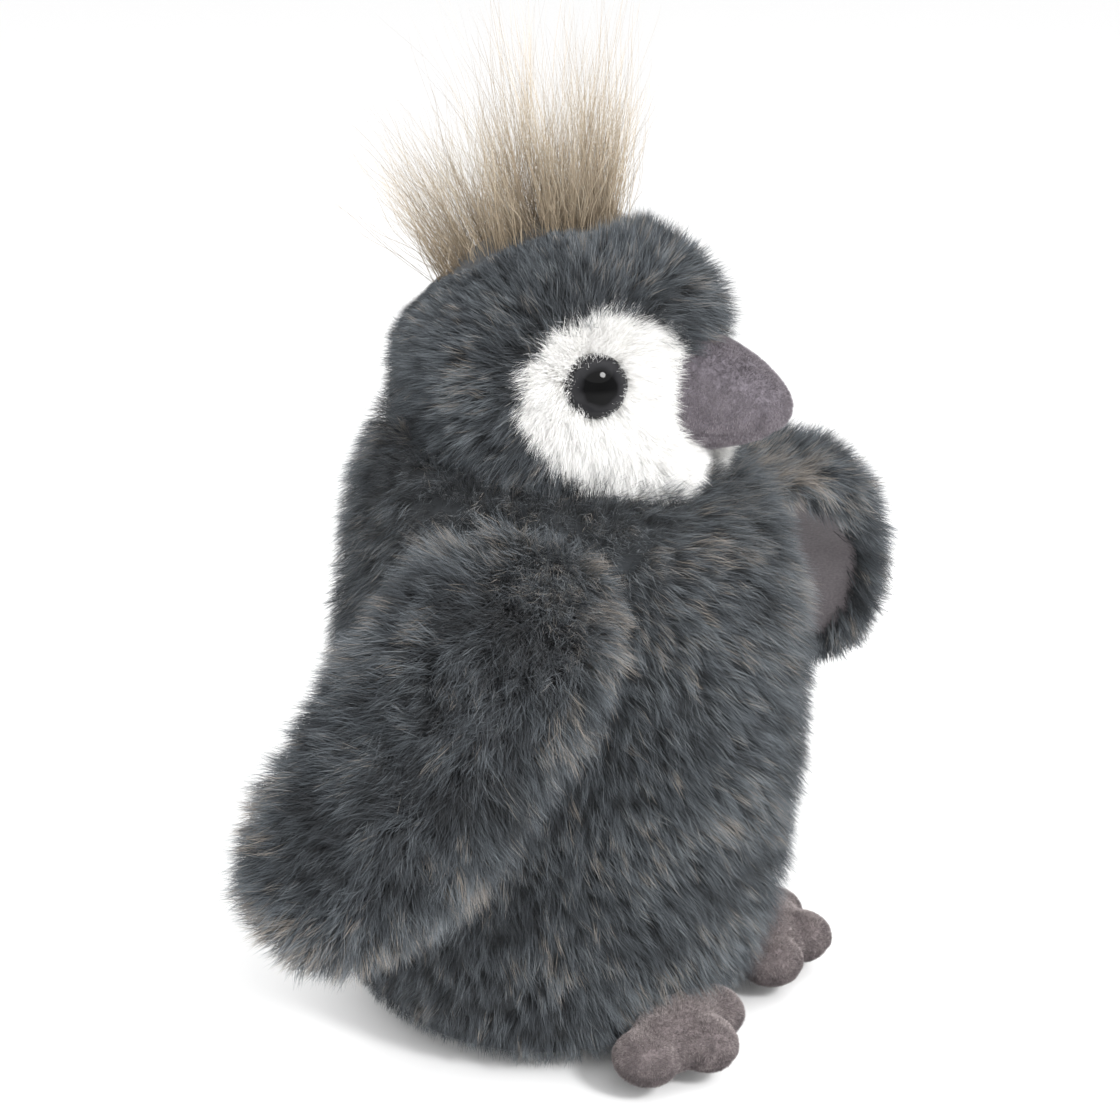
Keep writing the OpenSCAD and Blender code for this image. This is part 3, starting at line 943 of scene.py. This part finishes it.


# ---- Assembly ----

# Ties a piece to its body and hides the solids that it stands for
def wear(o, body, slot, *nodes):
    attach(o, body)
    if nodes:
        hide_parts(*nodes)


body = build_body()
head = build_head()
wear(body, "torso", "fibre_filling", "body_filling", "pellet_pouch", "pellets")
wear(head, "torso", "fibre_filling", "head_filling", "eye_washer_left", "eye_washer_right")
for name, made in {**body_fur(body), **head_fur(head)}.items():
    slot = "white_plush" if name.startswith("face") else "dark_plush"
    for i, o in enumerate(made):
        wear(o, "torso", slot, *([name] if i == 0 else []))
wear(build_base(), "torso", "dark_plush", "base_panel")

beak = build_beak()
wear(beak, "torso", "velour", "beak_cover", "beak_gusset", "beak_filling")
rng = np.random.default_rng(16)
wear(nap(beak, "beak_nap", FUZZ, 34000, rng, 0.75, front=-24), "torso", "velour")
wear(build_tuft(), "torso", "tuft_hair", "head_tuft")

for key, s in SIDES.items():
    wear(build_eye(key, s), "torso", "eye_plastic", "eye_" + key)
    pad = build_wing(key)
    wear(pad, "wing_" + key, "dark_plush", "wing_filling_" + key)
    wear(build_lining(key), "wing_" + key, "velour", "wing_lining_" + key)
    for i, o in enumerate(wing_fur(key, pad)):
        wear(o, "wing_" + key, "dark_plush", *(["wing_fur_" + key] if i == 0 else []))
    foot = build_foot(key, s)
    wear(foot, "foot_" + key, "velour", "foot_cover_" + key, "foot_sole_" + key, "foot_filling_" + key)
    rng = np.random.default_rng(30 + s)
    # The feet's nap gets painted light from above (top=0.58): lighter on top, darker underneath
    wear(nap(foot, "foot_nap_" + key, FEET_FUZZ, 24000, rng, 0.8, mean=0.29, top=0.58), "foot_" + key, "velour")

# ---- Floor, light and camera ----

# A round lamp of the given power, in watts, and width, in metres
def area_light(name, energy, size, place, aim):
    data = bpy.data.lights.new(name, "AREA")
    data.shape = "DISK"
    data.energy = energy
    data.size = size
    o = bpy.data.objects.new(name, data)
    o.location = place
    o.rotation_euler = (Vector(aim) - Vector(place)).to_track_quat("-Z", "Y").to_euler()
    bpy.context.scene.collection.objects.link(o)


floor_mat, _, _, floor_shader = new_material("floor", 0.9)
floor_shader.inputs["Base Color"].default_value = (0.97, 0.97, 0.97, 1)
corners = [(-4000, -4000, 0), (4000, -4000, 0), (4000, 4000, 0), (-4000, 4000, 0)]
floor = make_object("floor", corners, [(0, 1, 2, 3)], floor_mat)
floor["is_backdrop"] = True

world = bpy.data.worlds.new("studio")
bpy.context.scene.world = world
world.use_nodes = True
world.node_tree.nodes["Background"].inputs["Color"].default_value = (1, 1, 1, 1)
world.node_tree.nodes["Background"].inputs["Strength"].default_value = 1.0

# The camera looks from the toy's right front, a little from above
AZ, EL, DISTANCE = math.radians(-65), math.radians(18), 0.550
back = Vector((math.sin(AZ) * math.cos(EL), -math.cos(AZ) * math.cos(EL), math.sin(EL)))
right = Vector((math.cos(AZ), math.sin(AZ), 0))
target = Vector((0, 0, 0.107)) + right * 0.0014
camera_data = bpy.data.cameras.new("camera")
camera_data.sensor_width = 36
camera_data.lens = camera_data.sensor_width * DISTANCE / 0.256
camera = bpy.data.objects.new("camera", camera_data)
camera.location = target + back * DISTANCE
camera.rotation_euler = (-back).to_track_quat("-Z", "Y").to_euler()
bpy.context.scene.collection.objects.link(camera)
bpy.context.scene.camera = camera

area_light("key", 9.0, 1.7, target + back * 0.5 + right * 0.25 + Vector((0, 0, 0.65)), target)
area_light("glint", 3.4, 0.15, target + back * 0.50 + right * 0.36 + Vector((0, 0, 0.23)), target)
area_light("fill", 1.4, 0.9, target + back * 0.4 - right * 0.7 + Vector((0, 0, 0.3)), target)
bpy.context.scene.view_settings.view_transform = "Standard"


# Bounds as plain lists
def plain(v):
    if hasattr(v, "__len__"):
        return [plain(x) for x in v]
    return float(v)


plain(CAD_BOX)
plain(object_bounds())
